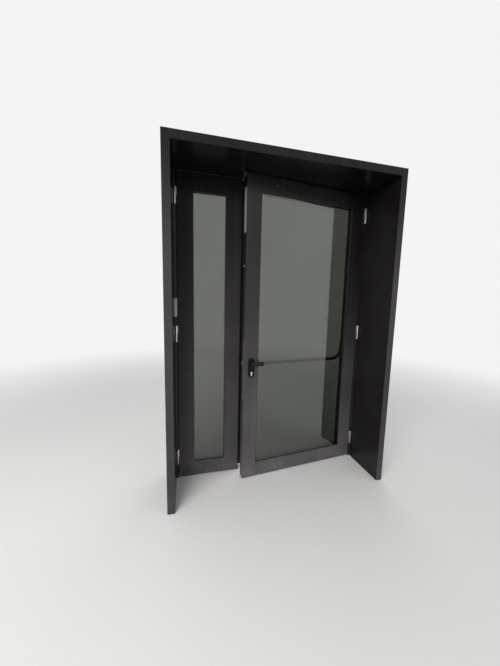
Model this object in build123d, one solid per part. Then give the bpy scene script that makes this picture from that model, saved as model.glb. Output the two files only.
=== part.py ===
from build123d import *
import math
import os

os.makedirs("parts", exist_ok=True)

# An unequal pair of glazed entrance doors that open outwards, hung in a fixed frame behind
# a deep portal of folded sheet. Sizes are in mm. X runs along the wall, Y runs into the
# building and Z is up. The origin is on the floor, midway along the portal and its depth.

# Portal, folded from sheet and mitred at the head
portal_width = 1636.0
portal_height = 2330.0
portal_front_y = -252.0
reveal_depth = 356.0
jamb_face = 49.5
head_face = 52.5
sheet = 2.0
outer_bend = 3.0
wall_return = 28.0
rear_flange = 34.0

# Fixed frame, an extruded tube with a stop behind the leaves
frame_show = 16.0
frame_show_head = 4.5
frame_width = 55.0
frame_wall = 2.5
stop_overlap = 20.0
stop_depth = 19.5
seal_space = 4.5
seal_clearance = 0.4
seal_width = 9.0
seal_inset = 3.0

# Anchor holes through the jambs of the fixed frame
anchor_count = 4
anchor_above_floor = 310.0
anchor_below_top = 338.0
anchor_radius = 5.0
anchor_access_radius = 8.0
anchor_depth = 40.0

# Leaves
hinge_gap = 5.2
head_gap = 5.0
floor_gap = 10.0
meeting_gap = 6.7
passive_width = 461.0
leaf_depth = 68.0
ajar = 6.76

# Leaf extrusion: a tube with a glazing lip, a hardware groove and a stepped inner edge
tube_width = 88.0
tube_wall = 2.5
edge_wall = 8.0
lip_end = 113.0
lip_depth = 5.0
groove_width = 24.0
groove_depth = 3.0
edge_step = 5.5
step_depth = 18.0
edge_radius = 1.5

# Sealed glass unit and what holds it
pane = 6.0
pane_gap = 16.0
glass_edge = 96.0
gasket = 4.0
gasket_outer = 100.0
gasket_show = 3.0
bead_end = 111.0
bead_wall = 1.6
bead_radius = 4.0
spacer_width = 12.0
spacer_inset = 4.0
block_length = 60.0
block_inset = 40.0
fit = 0.3

# Seals on the leaves
brush_floor_gap = 1.0
brush_thickness = 8.0
brush_end_inset = 12.0
brush_bolt_inset = 32.0
meeting_seal = 3.5
meeting_seal_width = 12.0
meeting_seal_inset = 2.0

# Lift-off hinges
hinge_from_bottom = 170.0
hinge_from_top = 158.0
hinge_length = 118.0
knuckle_radius = 7.0
knuckle_gap = 0.4
hinge_out = 10.7
hinge_forward = 9.0
wing = 2.0
wing_reach = 32.0
pin_radius = 4.0
pin_clearance = 0.05
pin_end_wall = 5.0

# Lock, handle and cylinder
backset = 57.0
spindle_z = 933.0
cylinder_z = 861.0
case_low_z = 740.0
case_high_z = 1010.0
case_depth = 18.0
case_width = 75.0
case_wall = 1.5
faceplate_low_z = 650.0
faceplate_high_z = 1100.0
edge_cover_width = 44.0
edge_cover_inset = 2.0
edge_cover_proud = 1.2
upper_plate_below_top = 91.0
upper_plate_length = 301.0
bolt_thickness = 14.0
bolt_clearance = 0.4
latch_height = 32.0
latch_out = 11.0
latch_tail = 32.0
latch_bevel = 8.0
deadbolt_height = 40.0
deadbolt_rise = 0.0
deadbolt_throw = 20.0
deadbolt_guide = 16.0
bolt_set_back = 0.5
strike_low_z = 800.0
strike_high_z = 980.0
strike_clearance = 2.0
spindle_size = 8.0
follower_radius = 11.0
follower_thickness = 12.0
spindle_hole_radius = 10.0
cylinder_radius = 8.5
cylinder_web = 10.0
cylinder_height = 33.0
cylinder_proud = 3.0
cylinder_inner_proud = 4.0
cylinder_clearance = 0.4
plug_radius = 6.5
plug_clearance = 0.05
keyway_width = 2.4
keyway_height = 8.0
backplate_width = 45.0
backplate_low_z = 823.0
backplate_high_z = 972.0
backplate_thickness = 12.0
backplate_edge = 7.0
lever_collar_radius = 11.5
lever_collar = 8.0
lever_neck_radius = 8.5
lever_stand_off = 46.0
lever_thickness = 16.0
lever_root_radius = 13.0
lever_end_radius = 19.0
lever_reach = 88.0
lever_edge = 4.0
screw_radius = 2.5
screw_head_radius = 4.5

# Push bar inside the active leaf
bar_radius = 15.0
bar_wall = 2.0
bar_z = 890.0
bar_pivot_z = 1020.0
bar_pivot_out = 30.0
bar_out = 75.0
bar_bend = 75.0
housing_width = 48.0
housing_depth = 46.0
housing_low_z = 905.0
housing_step_z = 965.0
housing_high_z = 1065.0
housing_foot = 15.0
housing_radius = 6.0
housing_base = 6.0
housing_front = 3.0
arm_slot_clearance = 1.5
arm_slot_headroom = 3.0
arm_mouth = 2.0
axle_end_inset = 1.0
spindle_end = 5.0
axle_radius = 5.0
axle_clearance = 0.05
arm_eye_radius = 12.0
arm_eye_width = 24.0

# Slide bolts in the meeting edge of the passive leaf
rod_radius = 5.0
rod_set_in = 18.0
rod_clearance = 0.4
rod_travel_top = 20.0
rod_travel_bottom = 9.0
rod_length = 190.0
rod_retracted = 1.0
thumb_width = 11.0
thumb_height = 14.0
thumb_proud = 1.0
bolt_plate_length = 240.0
bolt_plate_inset = 24.0
keep_length = 44.0
keep_thickness = 2.0

# Small things
contact_box_thickness = 18.5
contact_box_depth = 36.0
contact_box_set_forward = 4.0
contact_box_above_hinge = 193.0
contact_box_height = 132.0
contact_box_chamfer = 8.0
bumper_below_top = 623.0
bumper_radius = 5.0
bumper_proud = 2.0
plug_from_lock_edge = 232.0
plug_below_top = 53.0
plug_cap_radius = 5.0
plug_cap_proud = 0.8

# Places that follow from the sizes
leaf_face_y = portal_front_y + reveal_depth
lining_x = portal_width / 2 - jamb_face
lining_z = portal_height - head_face
rebate_x = lining_x - frame_show
rebate_z = lining_z - frame_show_head
frame_outer_x = rebate_x + frame_width
frame_outer_z = rebate_z + frame_width
frame_depth = leaf_depth + seal_space + stop_depth
leaf_edge_x = rebate_x - hinge_gap
leaf_low_z = floor_gap
leaf_high_z = rebate_z - head_gap
strike_edge_x = passive_width - leaf_edge_x
lock_edge_x = strike_edge_x + meeting_gap
hinge_x = leaf_edge_x + hinge_out
hinge_y = leaf_face_y - hinge_forward
hinge_low_z = leaf_low_z + hinge_from_bottom
hinge_high_z = leaf_high_z - hinge_from_top
hinge_heights = (hinge_low_z, (hinge_low_z + hinge_high_z) / 2, hinge_high_z)
mid_t = leaf_depth / 2
mid_y = leaf_face_y + mid_t
groove_low_t = mid_t - groove_width / 2
groove_high_t = mid_t + groove_width / 2
lock_x = lock_edge_x + backset
pane_outer_t = lip_depth + gasket
pane_inner_t = pane_outer_t + pane + pane_gap
bead_t = pane_inner_t + pane + gasket
latch_z = spindle_z
deadbolt_z = cylinder_z + deadbolt_rise
upper_plate_high_z = leaf_high_z - upper_plate_below_top
rod_x = strike_edge_x - rod_set_in
inner_face_y = leaf_face_y + leaf_depth

into_wall = Vector(0, 1, 0)
outward = Vector(0, -1, 0)
up = Vector(0, 0, 1)
right = Vector(1, 0, 0)


def block(x_range, y_range, z_range):
    """A box between two values along each axis."""
    ranges = (x_range, y_range, z_range)
    size = [abs(high - low) for low, high in ranges]
    centre = [(low + high) / 2 for low, high in ranges]
    return Pos(*centre) * Box(*size)


def rod(start, direction, radius, length):
    """A round bar that starts at a point."""
    return extrude(Plane(origin=start, z_dir=direction) * Circle(radius), amount=length)


def corner_of(sketch, x, y):
    """The sketch's corner nearest to a point."""
    return min(sketch.vertices(), key=lambda v: math.hypot(v.X - x, v.Y - y))


def bar(section, corner, inward, length, start_slope=1.0, end_slope=1.0):
    """Extrudes a section whose x runs inward from an outer edge and whose y runs into the wall,
    and mitres its ends by a slope, which is 1 at 45 degrees and 0 for a square end."""
    run = inward.cross(into_wall)
    start = Plane(origin=corner, x_dir=inward, z_dir=run)
    length_of_section = extrude(start * section, amount=length, dir=run)
    box = section.bounding_box()
    reach = box.max.X + 1
    outline = Polygon(
        (0, 0),
        (reach, -reach * start_slope),
        (reach, reach * end_slope - length),
        (0, -length),
        align=None,
    )
    keep = Plane(origin=corner, x_dir=inward, z_dir=into_wall) * outline
    deep = box.max.Y + 1
    return length_of_section & extrude(keep, amount=deep, both=True)


# Portal


def portal_section(face):
    """Wall return, front face, reveal and rear flange of the folded sheet."""
    line = FilletPolyline(
        (0, wall_return),
        (0, 0),
        (face, 0),
        (face, reveal_depth),
        (face - rear_flange, reveal_depth),
        radius=outer_bend,
    )
    return make_face(offset(line, amount=sheet, side=Side.LEFT).edges())


def portal():
    """The three lengths of the portal, mitred from the outer to the inner corners."""
    half = portal_width / 2
    slope = head_face / jamb_face
    jamb = portal_section(jamb_face)
    head = portal_section(head_face)
    left = bar(jamb, Vector(-half, portal_front_y, 0), right, portal_height, 0, slope)
    right_jamb = bar(jamb, Vector(half, portal_front_y, portal_height), -right, portal_height, slope, 0)
    top_corner = Vector(-half, portal_front_y, portal_height)
    top = bar(head, top_corner, -up, portal_width, 1 / slope, 1 / slope)
    return left, right_jamb, top


# Fixed frame


def frame_section():
    """Hollow tube with the stop that the leaves close against."""
    stop_end = frame_width + hinge_gap + stop_overlap
    stop_t = leaf_depth + seal_space
    outline = Polygon(
        (0, 0),
        (frame_width, 0),
        (frame_width, stop_t),
        (stop_end, stop_t),
        (stop_end, frame_depth),
        (0, frame_depth),
        align=None,
    )
    cavity = offset(outline, amount=-frame_wall, kind=Kind.INTERSECTION)
    shown = [corner_of(outline, frame_width, 0), corner_of(outline, stop_end, stop_t)]
    shown.append(corner_of(outline, stop_end, frame_depth))
    return fillet(shown, radius=edge_radius) - cavity


def anchor_heights():
    """Heights of the anchor holes."""
    pitch = (frame_outer_z - anchor_above_floor - anchor_below_top) / (anchor_count - 1)
    return [anchor_above_floor + pitch * n for n in range(anchor_count)]


def fixed_frame():
    """Two jambs with anchor holes, and a head with the hole for the slide bolt."""
    section = frame_section()
    left = bar(section, Vector(-frame_outer_x, leaf_face_y, 0), right, frame_outer_z, 0, 1)
    right_jamb = bar(section, Vector(frame_outer_x, leaf_face_y, frame_outer_z), -right, frame_outer_z, 1, 0)
    head = bar(section, Vector(-frame_outer_x, leaf_face_y, frame_outer_z), -up, 2 * frame_outer_x)
    y = leaf_face_y + anchor_depth
    for z in anchor_heights():
        for side in (-1, 1):
            outwards = right * side
            hole = rod(Vector(side * (rebate_x + frame_wall + 1), y, z), outwards, anchor_radius, frame_width)
            access = rod(Vector(side * (rebate_x - 1), y, z), outwards, anchor_access_radius, frame_wall + 2)
            if side < 0:
                left = left - hole - access
            else:
                right_jamb = right_jamb - hole - access
    bolt_hole = rod(Vector(rod_x, mid_y, rebate_z - 1), up, rod_radius + 1, frame_wall + 2)
    return left, right_jamb, head - bolt_hole


def frame_seal():
    """Rubber seal on the stop, in one length up one jamb, along the head and down the other."""
    near = frame_width + hinge_gap + stop_overlap - seal_inset - seal_width
    low_t = leaf_depth + seal_clearance
    section = Pos(near + seal_width / 2, (low_t + leaf_depth + seal_space) / 2) * Rectangle(
        seal_width, seal_space - seal_clearance
    )
    left = bar(section, Vector(-frame_outer_x, leaf_face_y, 0), right, frame_outer_z, 0, 1)
    right_side = bar(section, Vector(frame_outer_x, leaf_face_y, frame_outer_z), -right, frame_outer_z, 1, 0)
    head = bar(section, Vector(-frame_outer_x, leaf_face_y, frame_outer_z), -up, 2 * frame_outer_x)
    return left + head + right_side


# Leaves


def leaf_section():
    """Tube, glazing lip, hardware groove and stepped inner edge of the leaf extrusion."""
    step_t = leaf_depth - step_depth
    outline = Polygon(
        (0, 0),
        (lip_end, 0),
        (lip_end, lip_depth),
        (tube_width, lip_depth),
        (tube_width, leaf_depth),
        (edge_step, leaf_depth),
        (edge_step, step_t),
        (0, step_t),
        (0, groove_high_t),
        (groove_depth, groove_high_t),
        (groove_depth, groove_low_t),
        (0, groove_low_t),
        align=None,
    )
    corners = ((0, 0), (lip_end, 0), (edge_step, leaf_depth))
    outline = fillet([corner_of(outline, *corner) for corner in corners], radius=edge_radius)
    cavity_width = tube_width - tube_wall - edge_wall
    cavity_middle = (edge_wall + tube_width - tube_wall) / 2
    cavity = Pos(cavity_middle, mid_t) * Rectangle(cavity_width, leaf_depth - 2 * tube_wall)
    return outline - cavity


def bead_section():
    """Hollow bead that clips in on the room side of the glass."""
    width = bead_end - tube_width
    depth = leaf_depth - bead_t
    outline = Pos(tube_width + width / 2, bead_t + depth / 2) * Rectangle(width, depth)
    outline = fillet([corner_of(outline, bead_end, leaf_depth)], radius=bead_radius)
    cavity = Pos(tube_width + width / 2, bead_t + depth / 2) * Rectangle(
        width - 2 * bead_wall, depth - 2 * bead_wall
    )
    return outline - fillet([corner_of(cavity, bead_end, leaf_depth)], radius=bead_radius - bead_wall)


def four_sides(section, x_range):
    """Left, right, bottom and top bars of a leaf, mitred at 45 degrees."""
    low_x, high_x = x_range
    width = high_x - low_x
    height = leaf_high_z - leaf_low_z
    left = bar(section, Vector(low_x, leaf_face_y, leaf_low_z), right, height)
    right_bar = bar(section, Vector(high_x, leaf_face_y, leaf_high_z), -right, height)
    bottom = bar(section, Vector(high_x, leaf_face_y, leaf_low_z), up, width)
    top = bar(section, Vector(low_x, leaf_face_y, leaf_high_z), -up, width)
    return left, right_bar, bottom, top


def panel(x_range, inset, low_t, high_t):
    """A flat plate inside a leaf, held in from its edges by an inset."""
    return block(
        (x_range[0] + inset, x_range[1] - inset),
        (leaf_face_y + low_t, leaf_face_y + high_t),
        (leaf_low_z + inset, leaf_high_z - inset),
    )


def ring(x_range, outer_inset, inner_inset, low_t, high_t):
    """A plate with its middle cut out."""
    return panel(x_range, outer_inset, low_t, high_t) - panel(x_range, inner_inset, low_t - 1, high_t + 1)


def glazing(x_range):
    """Two panes, their spacer, the two gaskets, four beads and the setting blocks."""
    outer = panel(x_range, glass_edge, pane_outer_t, pane_outer_t + pane)
    inner = panel(x_range, glass_edge, pane_inner_t, pane_inner_t + pane)
    spacer_edge = glass_edge + spacer_inset
    spacer = ring(x_range, spacer_edge, spacer_edge + spacer_width, pane_outer_t + pane, pane_inner_t)
    outer_gasket = ring(x_range, gasket_outer, lip_end + gasket_show, lip_depth, pane_outer_t)
    inner_gasket = ring(x_range, gasket_outer, bead_end + gasket_show, pane_inner_t + pane, bead_t)
    beads = four_sides(bead_section(), x_range)
    blocks = []
    near_x = x_range[0] + glass_edge + block_inset
    far_x = x_range[1] - glass_edge - block_inset - block_length
    for low_z in (leaf_low_z + tube_width, leaf_high_z - glass_edge):
        for low_x in (near_x, far_x):
            blocks.append(
                block(
                    (low_x, low_x + block_length),
                    (leaf_face_y + pane_outer_t, leaf_face_y + pane_inner_t + pane),
                    (low_z, low_z + glass_edge - tube_width),
                )
            )
    return [outer, inner], spacer, [outer_gasket, inner_gasket], beads, blocks


def bottom_brush(low_x, high_x):
    """Brush in its carrier, in the groove under a bottom rail."""
    half = groove_width / 2 - fit
    carrier = block((low_x, high_x), (mid_y - half, mid_y + half), (leaf_low_z, leaf_low_z + groove_depth))
    half = brush_thickness / 2
    bristles = block((low_x, high_x), (mid_y - half, mid_y + half), (brush_floor_gap, leaf_low_z + 1))
    return carrier + bristles


def passive_meeting_seal():
    """Rubber strip down the outer corner of the passive leaf's meeting edge."""
    low_y = leaf_face_y + meeting_seal_inset
    strip = block(
        (strike_edge_x, strike_edge_x + meeting_seal),
        (low_y, low_y + meeting_seal_width),
        (leaf_low_z + meeting_seal_inset, leaf_high_z - meeting_seal_inset),
    )
    outer_edges = strip.edges().filter_by(Axis.Z).sort_by(Axis.X)[-2:]
    return fillet(outer_edges, radius=meeting_seal - 1)


# Hinges


def hinge_wing(side, plate_x, low_z, high_z):
    """Cranked plate from the knuckle into the gap, where it lies on a leaf or on the frame."""
    back_y = hinge_y + knuckle_radius
    front_y = back_y - wing
    end_y = leaf_face_y + wing_reach
    across = block((side * plate_x, side * hinge_x), (front_y, back_y), (low_z, high_z))
    return across + block((side * plate_x, side * (plate_x + wing)), (front_y, end_y), (low_z, high_z))


def hinge(side, z):
    """Frame half, pin and leaf half of one hinge. The leaf half lifts off upwards."""
    axis_x = side * hinge_x
    half = hinge_length / 2
    low_z, mid_low = z - half, z - knuckle_gap / 2
    mid_high, high_z = z + knuckle_gap / 2, z + half
    bore = pin_radius + pin_clearance
    pin_low = low_z + pin_end_wall
    pin_high = high_z - pin_end_wall
    frame_half = rod(Vector(axis_x, hinge_y, low_z), up, knuckle_radius, mid_low - low_z)
    frame_half = frame_half + hinge_wing(side, rebate_x - wing, low_z, mid_low)
    frame_half = frame_half - rod(Vector(axis_x, hinge_y, pin_low), up, bore, half)
    leaf_half = rod(Vector(axis_x, hinge_y, mid_high), up, knuckle_radius, high_z - mid_high)
    leaf_half = leaf_half + hinge_wing(side, leaf_edge_x, mid_high, high_z)
    leaf_half = leaf_half - rod(Vector(axis_x, hinge_y, z), up, bore, pin_high - z)
    pin = rod(Vector(axis_x, hinge_y, pin_low), up, pin_radius, pin_high - pin_clearance - pin_low)
    return frame_half, pin, leaf_half


def hinges(side):
    """The three hinges of one leaf, sorted into frame halves, pins and leaf halves."""
    made = [hinge(side, z) for z in hinge_heights]
    return [[each[n] for each in made] for n in range(3)]


# Slide bolts of the passive leaf


def slide_bolt(end_z, direction, travel):
    """Rod with its thumb piece, and the plate that it slides in. end_z is the leaf's end."""
    tip_z = end_z - direction * rod_retracted
    tail_z = tip_z - direction * rod_length
    low_z, high_z = min(tip_z, tail_z), max(tip_z, tail_z)
    body = rod(Vector(rod_x, mid_y, low_z), up, rod_radius, high_z - low_z)
    thumb_z = tail_z + direction * thumb_height / 2
    half = thumb_width / 2
    thumb = block(
        (rod_x, strike_edge_x + thumb_proud),
        (mid_y - half, mid_y + half),
        (thumb_z - thumb_height / 2, thumb_z + thumb_height / 2),
    )
    ridges = [thumb_z + offset_z for offset_z in (-4.0, 0.0, 4.0)]
    for z in ridges:
        thumb = thumb - block(
            (strike_edge_x + thumb_proud - 0.8, strike_edge_x + thumb_proud + 1),
            (mid_y - half - 1, mid_y + half + 1),
            (z - 0.8, z + 0.8),
        )
    far_z = thumb_z + direction * travel
    slot = block(
        (rod_x, strike_edge_x + 1),
        (mid_y - half - rod_clearance, mid_y + half + rod_clearance),
        (
            min(thumb_z, far_z) - thumb_height / 2 - rod_clearance,
            max(thumb_z, far_z) + thumb_height / 2 + rod_clearance,
        ),
    )
    plate_half = groove_width / 2 - fit
    near_z = end_z - direction * bolt_plate_inset
    plate_far_z = near_z - direction * bolt_plate_length
    plate = block(
        (strike_edge_x - groove_depth, strike_edge_x),
        (mid_y - plate_half, mid_y + plate_half),
        (min(near_z, plate_far_z), max(near_z, plate_far_z)),
    )
    return body + thumb, plate - slot, slot


def bolt_keep():
    """Plate with a hole, under the frame head."""
    half = groove_width / 2
    low_z = rebate_z - keep_thickness
    plate = block(
        (rod_x - keep_length / 2, rod_x + keep_length / 2),
        (mid_y - half, mid_y + half),
        (low_z, rebate_z),
    )
    return plate - rod(Vector(rod_x, mid_y, low_z - 1), up, rod_radius + 1, keep_thickness + 2)


# Lock


def bolt_slot(edge_x, inward, z, height, clearance, depth):
    """The space that a bolt passes through in an edge."""
    half_t = bolt_thickness / 2 + clearance
    half_z = height / 2 + clearance
    return block(
        (edge_x - inward * (edge_cover_proud + 1), edge_x + inward * depth),
        (mid_y - half_t, mid_y + half_t),
        (z - half_z, z + half_z),
    )


def latch_bolt():
    """Sprung latch with its bevel on the side that meets the strike as the door closes."""
    half_t = bolt_thickness / 2
    half_z = latch_height / 2
    tip_x = lock_edge_x - latch_out
    outline = Polygon(
        (tip_x, mid_y - half_t),
        (tip_x, mid_y - half_t + 3),
        (tip_x + latch_bevel, mid_y + half_t),
        (lock_edge_x + latch_tail, mid_y + half_t),
        (lock_edge_x + latch_tail, mid_y - half_t),
        align=None,
    )
    return extrude(Pos(0, 0, latch_z - half_z) * outline, amount=latch_height, dir=up)


def dead_bolt():
    """Square bolt, drawn back behind the faceplate."""
    half_t = bolt_thickness / 2
    half_z = deadbolt_height / 2
    return block(
        (lock_edge_x + bolt_set_back, lock_edge_x + deadbolt_throw + deadbolt_guide),
        (mid_y - half_t, mid_y + half_t),
        (deadbolt_z - half_z, deadbolt_z + half_z),
    )


def edge_plate(edge_x, inward, low_z, high_z):
    """A plate flush in the hardware groove."""
    half = groove_width / 2 - fit
    return block(
        (edge_x, edge_x + inward * groove_depth),
        (mid_y - half, mid_y + half),
        (low_z, high_z),
    )


def cylinder_outline(clearance):
    """Round barrel over a narrower rounded web, standing in the plane of the leaf."""
    barrel = Circle(cylinder_radius + clearance)
    web_height = cylinder_height - cylinder_radius - cylinder_web / 2
    web = Pos(0, -web_height / 2) * Rectangle(cylinder_web + 2 * clearance, web_height)
    foot = Pos(0, -web_height) * Circle(cylinder_web / 2 + clearance)
    return barrel + web + foot


def through_leaf(outline, z, low_t, high_t):
    """Extrudes an outline drawn about the lock's axis from one depth to another."""
    plane = Plane(origin=Vector(lock_x, leaf_face_y + low_t, z), x_dir=(1, 0, 0), z_dir=(0, 1, 0))
    drawn = plane * Rot(0, 0, 180) * outline
    return extrude(drawn, amount=high_t - low_t, dir=into_wall)


def lock_case():
    """Pressed case with the openings for its bolts, the spindle and the cylinder."""
    low_x = lock_edge_x + edge_wall + fit
    half = case_depth / 2
    shell = block((low_x, low_x + case_width), (mid_y - half, mid_y + half), (case_low_z, case_high_z))
    hollow = block(
        (low_x - 1, low_x + case_width - case_wall),
        (mid_y - half + case_wall, mid_y + half - case_wall),
        (case_low_z + case_wall, case_high_z - case_wall),
    )
    shell = shell - hollow
    low_t, high_t = mid_t - case_depth, mid_t + case_depth
    shell = shell - through_leaf(Circle(spindle_hole_radius - 1), spindle_z, low_t, high_t)
    return shell - through_leaf(cylinder_outline(cylinder_clearance), cylinder_z, low_t, high_t)


def lock_edge_plate(low_z, high_z):
    """Plate in the groove of the lock edge with a wider cover over the edge."""
    low_y = leaf_face_y + edge_cover_inset
    cover = block(
        (lock_edge_x - edge_cover_proud, lock_edge_x),
        (low_y, low_y + edge_cover_width),
        (low_z, high_z),
    )
    return cover + edge_plate(lock_edge_x, 1, low_z, high_z)


def lock_faceplate():
    """Long plate on the lock edge with the mouths for latch and deadbolt."""
    plate = lock_edge_plate(faceplate_low_z, faceplate_high_z)
    plate = plate - bolt_slot(lock_edge_x, 1, latch_z, latch_height, bolt_clearance, groove_depth + 1)
    return plate - bolt_slot(lock_edge_x, 1, deadbolt_z, deadbolt_height, bolt_clearance, groove_depth + 1)


def strike_plate():
    """Plate on the passive leaf with the mouths for latch and deadbolt."""
    plate = edge_plate(strike_edge_x, -1, strike_low_z, strike_high_z)
    plate = plate - bolt_slot(strike_edge_x, -1, latch_z, latch_height, strike_clearance, groove_depth + 1)
    depth = groove_depth + 1
    return plate - bolt_slot(strike_edge_x, -1, deadbolt_z, deadbolt_height, strike_clearance, depth)


def lock_cylinder():
    """Profile cylinder with the bore for its plug at the outer end."""
    low_t = -backplate_thickness - cylinder_proud
    body = through_leaf(cylinder_outline(0), cylinder_z, low_t, leaf_depth + cylinder_inner_proud)
    return body - through_leaf(Circle(plug_radius + plug_clearance), cylinder_z, low_t - 1, mid_t - 8)


def cylinder_plug():
    """Turning plug with its keyway."""
    low_t = -backplate_thickness - cylinder_proud - 0.5
    plug = through_leaf(Circle(plug_radius), cylinder_z, low_t, mid_t - 8 - plug_clearance)
    keyway = through_leaf(Rectangle(keyway_width, keyway_height), cylinder_z, low_t - 1, low_t + 20)
    return plug - keyway


# Outside handle


def backplate():
    """Rounded plate that carries the lever and shields the cylinder."""
    height = backplate_high_z - backplate_low_z
    mid_z = (backplate_high_z + backplate_low_z) / 2
    outline = RectangleRounded(backplate_width, height, backplate_width / 2 - 1)
    plane = Plane(origin=Vector(lock_x, leaf_face_y, mid_z), x_dir=(1, 0, 0), z_dir=(0, -1, 0))
    plate = extrude(plane * outline, amount=backplate_thickness, dir=outward)
    front = plate.faces().sort_by(Axis.Y)[0]
    plate = chamfer(front.edges(), length=backplate_edge, length2=backplate_edge / 2, reference=front)
    plate = plate - through_leaf(Circle(lever_neck_radius + fit), spindle_z, -backplate_thickness - 1, 1)
    return plate - through_leaf(cylinder_outline(cylinder_clearance), cylinder_z, -backplate_thickness - 1, 1)


def outside_lever():
    """Neck with a flat arm that widens to a round end, pointing to the hinge side."""
    arm_y = leaf_face_y - lever_stand_off
    run = lever_reach - lever_end_radius
    tilt = math.asin((lever_end_radius - lever_root_radius) / run)
    outline = Circle(lever_root_radius) + Pos(run, 0) * Circle(lever_end_radius)
    outline = outline + Polygon(
        (-lever_root_radius * math.sin(tilt), -lever_root_radius * math.cos(tilt)),
        (run - lever_end_radius * math.sin(tilt), -lever_end_radius * math.cos(tilt)),
        (run - lever_end_radius * math.sin(tilt), lever_end_radius * math.cos(tilt)),
        (-lever_root_radius * math.sin(tilt), lever_root_radius * math.cos(tilt)),
        align=None,
    )
    back = Plane(origin=(lock_x, arm_y + lever_thickness / 2, spindle_z), x_dir=right, z_dir=outward)
    arm = extrude(back * outline, amount=lever_thickness)
    flat_faces = arm.faces().filter_by(Axis.Y)
    arm = chamfer(flat_faces.edges(), length=lever_edge)
    neck_start = Vector(lock_x, leaf_face_y - 1, spindle_z)
    neck = rod(neck_start, outward, lever_neck_radius, lever_stand_off - 1)
    collar_start = Vector(lock_x, leaf_face_y - backplate_thickness - fit, spindle_z)
    collar = rod(collar_start, outward, lever_collar_radius, lever_collar)
    socket = block(
        (lock_x - spindle_size / 2 - 0.1, lock_x + spindle_size / 2 + 0.1),
        (leaf_face_y - lever_stand_off / 2, leaf_face_y),
        (spindle_z - spindle_size / 2 - 0.1, spindle_z + spindle_size / 2 + 0.1),
    )
    return neck + arm + collar - socket


def lever_spindle():
    """Square bar through the lock, from the lever to the push bar's housing."""
    half = spindle_size / 2
    return block(
        (lock_x - half, lock_x + half),
        (leaf_face_y - lever_stand_off / 2 + 0.5, inner_face_y + spindle_end),
        (spindle_z - half, spindle_z + half),
    )


def lock_follower():
    """Disc in the lock case that the spindle turns."""
    half = follower_thickness / 2
    hole = spindle_size + 0.2
    outline = Circle(follower_radius) - Rectangle(hole, hole)
    return through_leaf(outline, spindle_z, mid_t - half, mid_t + half)


def backplate_screws():
    """Two countersunk screws that hold the plate, one above and one between its holes."""
    screws = []
    for z in (spindle_z + 28, (spindle_z + cylinder_z) / 2 + 4):
        start = Vector(lock_x, leaf_face_y - backplate_thickness - 0.3, z)
        head = extrude(Plane(origin=start, z_dir=into_wall) * Circle(screw_head_radius), amount=1.6)
        shank = rod(start, into_wall, screw_radius, backplate_thickness + tube_wall + 4)
        screws.append(head + shank)
    return screws


# Push bar


def push_bar_points():
    """Corners of the bar's centre line: down from one pivot, across, and up to the other."""
    low_x = lock_x
    high_x = leaf_edge_x - backset
    pivot_y = inner_face_y + bar_pivot_out
    bar_y = inner_face_y + bar_out
    return [
        Vector(low_x, pivot_y, bar_pivot_z),
        Vector(low_x, bar_y, bar_z),
        Vector(high_x, bar_y, bar_z),
        Vector(high_x, pivot_y, bar_pivot_z),
    ]


def push_bar():
    """Bent tube that swings on its two ends: two arms, two bends and the straight grip."""
    points = push_bar_points()
    drop = (points[1] - points[0]).normalized()
    outer, inner = Circle(bar_radius), Circle(bar_radius - bar_wall)
    ring_section = outer - inner
    arm = (points[1] - points[0]).length - arm_eye_radius - bar_bend
    grip_start = points[1] + right * bar_bend
    grip_length = (points[2] - points[1]).length - 2 * bar_bend
    tube = extrude(Plane(origin=grip_start, z_dir=right) * ring_section, amount=grip_length)
    for corner, side in ((points[1], right), (points[2], -right)):
        bend_centre = corner + side * bar_bend - drop * bar_bend
        bend_axis = Axis(bend_centre, drop.cross(side))
        bend_start = Plane(origin=corner - drop * bar_bend, z_dir=drop)
        tube = tube + extrude(bend_start * ring_section, amount=-arm)
        tube = tube + revolve(bend_start * ring_section, axis=bend_axis, revolution_arc=90)
    return tube


def arm_eyes():
    """Plug in each end of the tube, with an eye on the axle."""
    points = push_bar_points()
    drop = (points[1] - points[0]).normalized()
    eyes = []
    for pivot in (points[0], points[3]):
        half = Vector(arm_eye_width / 2, 0, 0)
        eye = rod(pivot - half, right, arm_eye_radius, arm_eye_width)
        neck = rod(pivot, drop, bar_radius - bar_wall - fit, arm_eye_radius + 24)
        bore = rod(pivot - half * 2, right, axle_radius + axle_clearance, arm_eye_width * 2)
        eyes.append(eye + neck - bore)
    return eyes


def push_bar_housing(x):
    """Stepped housing on the room face, with a slot that the arm swings in and a chamber for its eye."""
    half = housing_width / 2
    high_y = inner_face_y + housing_depth
    foot_y = inner_face_y + housing_foot
    side_view = Polygon(
        (inner_face_y, housing_low_z),
        (foot_y, housing_low_z),
        (foot_y, housing_step_z),
        (high_y, housing_step_z + housing_depth - housing_foot),
        (high_y, housing_high_z),
        (inner_face_y, housing_high_z),
        align=None,
    )
    start = Plane(origin=(x - half, 0, 0), x_dir=into_wall, z_dir=right)
    shell = extrude(start * side_view, amount=housing_width)
    rim = shell.faces().filter_by(Axis.X).edges() - shell.faces().sort_by(Axis.Y)[0].edges()
    shell = chamfer(rim, length=housing_radius / 2)
    slot_x = (x - bar_radius - arm_slot_clearance, x + bar_radius + arm_slot_clearance)
    slot_y = inner_face_y + housing_base
    mouth = block(slot_x, (slot_y, high_y + 1), (housing_low_z - 1, bar_pivot_z + arm_mouth))
    top_z = bar_pivot_z + arm_eye_radius + arm_slot_headroom
    chamber = block(slot_x, (slot_y, high_y - housing_front), (bar_pivot_z, top_z))
    pivot = Vector(x - housing_width, inner_face_y + bar_pivot_out, bar_pivot_z)
    axle_hole = rod(pivot, right, axle_radius + axle_clearance, 2 * housing_width)
    return shell - mouth - chamber - axle_hole


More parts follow.
